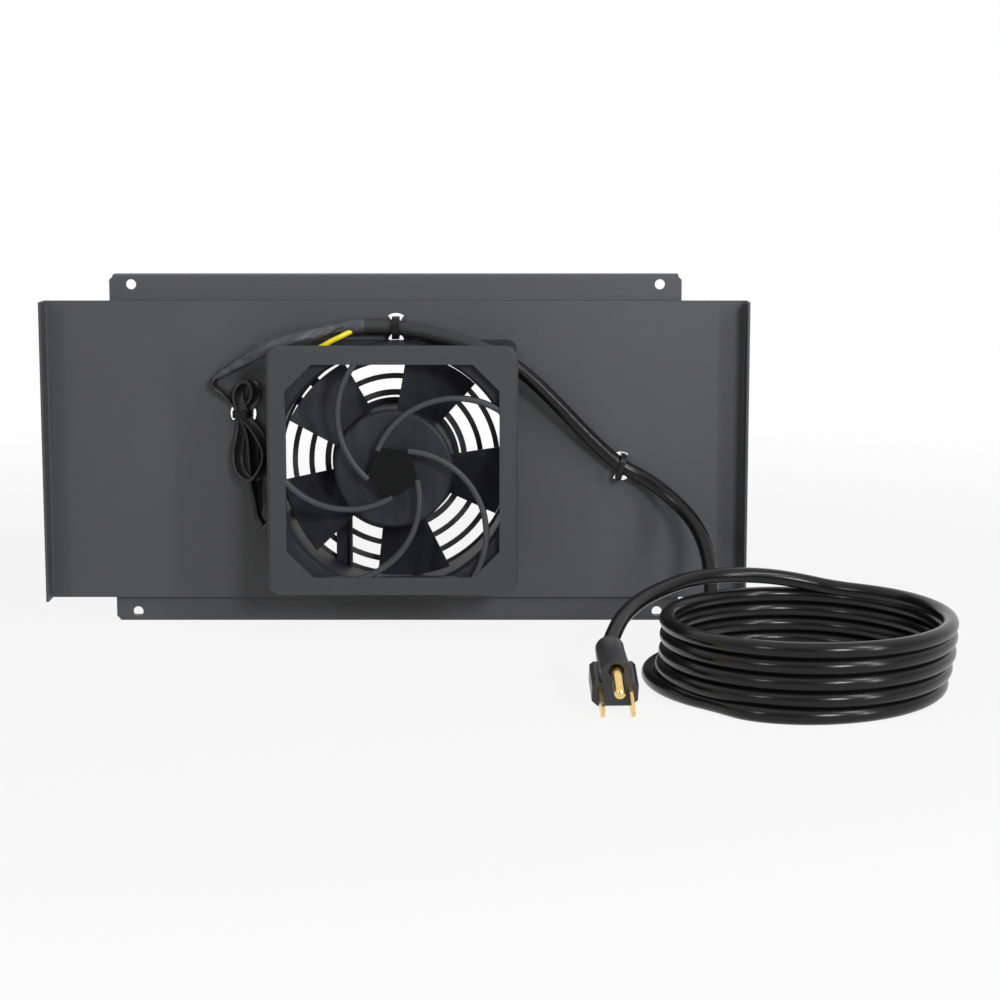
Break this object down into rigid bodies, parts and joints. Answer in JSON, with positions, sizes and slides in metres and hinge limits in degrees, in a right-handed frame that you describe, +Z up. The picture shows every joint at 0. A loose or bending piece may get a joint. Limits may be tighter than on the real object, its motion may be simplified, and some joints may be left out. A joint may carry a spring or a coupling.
{
  "type": "rack fan tray",
  "caption": "Folded sheet-steel rack panel carrying an axial mains fan with a finger guard, arc-slot grille, tied-down power cord and moulded plug.",
  "frame": {"origin": "middle of the panel's footprint, on the surface that its lower flange stands on; the loose cord, coil and plug are left out of that footprint", "axes": "+X along the panel to the right as seen from the fan's side, +Y from the fan through the panel to its back, +Z up"},
  "size_m": [0.4255, 0.2308, 0.1736],
  "materials": {
    "panel_powder_coat": "charcoal powder coat, fine orange-peel grain, satin",
    "fan_frame": "die-cast aluminium, black painted, satin",
    "guard_plastic": "black moulded plastic, lightly textured",
    "impeller_plastic": "black glass-filled plastic, satin",
    "connector_plastic": "black moulded plastic",
    "nylon_black": "black nylon",
    "cord_pvc": "black PVC jacket, semi-gloss",
    "plug_pvc": "dark moulded PVC",
    "shrink_sleeve": "dark grey shrink sleeve, slightly creased",
    "flex_jacket": "thin black flex jacket",
    "earth_yellow": "yellow wire insulation",
    "brass": "rolled brass, bright",
    "tinned_copper": "tin plated",
    "plated_steel": "ground and plated",
    "black_zinc_steel": "black zinc plated",
    "lamination_steel": "stamped laminations, varnished",
    "copper_winding": "enamelled copper winding",
    "rotor_iron": "squirrel-cage ring",
    "bearing_bronze": "oil-filled sintered bronze"
  },
  "bodies": {
    "tray": {"tray_panel": "panel_powder_coat", "fan_housing": "fan_frame", "finger_guard": "guard_plastic", "bearing_tube": "plated_steel", "front_bearing": "bearing_bronze", "rear_bearing": "bearing_bronze", "stator_core": "lamination_steel", "stator_coils": "copper_winding", "terminal_block": "connector_plastic", "fan_terminals": "brass", "fan_connector": "connector_plastic", "fan_screws": "black_zinc_steel", "lock_washers": "black_zinc_steel", "fan_nuts": "black_zinc_steel", "earth_ring_terminal": "tinned_copper", "earth_wire": "earth_yellow", "splice_sleeve": "shrink_sleeve", "fan_lead": "flex_jacket", "cable_tie_top": "nylon_black", "cable_tie_left": "nylon_black", "cable_tie_right": "nylon_black", "power_cord": "cord_pvc", "cord_coil": "cord_pvc", "plug_lead": "cord_pvc", "plug_body": "plug_pvc", "plug_blades": "brass", "plug_ground_pin": "brass"},
    "rotor": {"impeller": "impeller_plastic", "rotor_ring": "rotor_iron", "rotor_bush": "brass", "shaft": "plated_steel", "retaining_clip": "plated_steel"}
  },
  "joints": [
    {"name": "fan_spin", "type": "hinge", "parent": "tray", "child": "rotor", "pos_m": [0, -0.00435, 0.082], "axis": [0, -1, 0], "continuous": true}
  ]
}
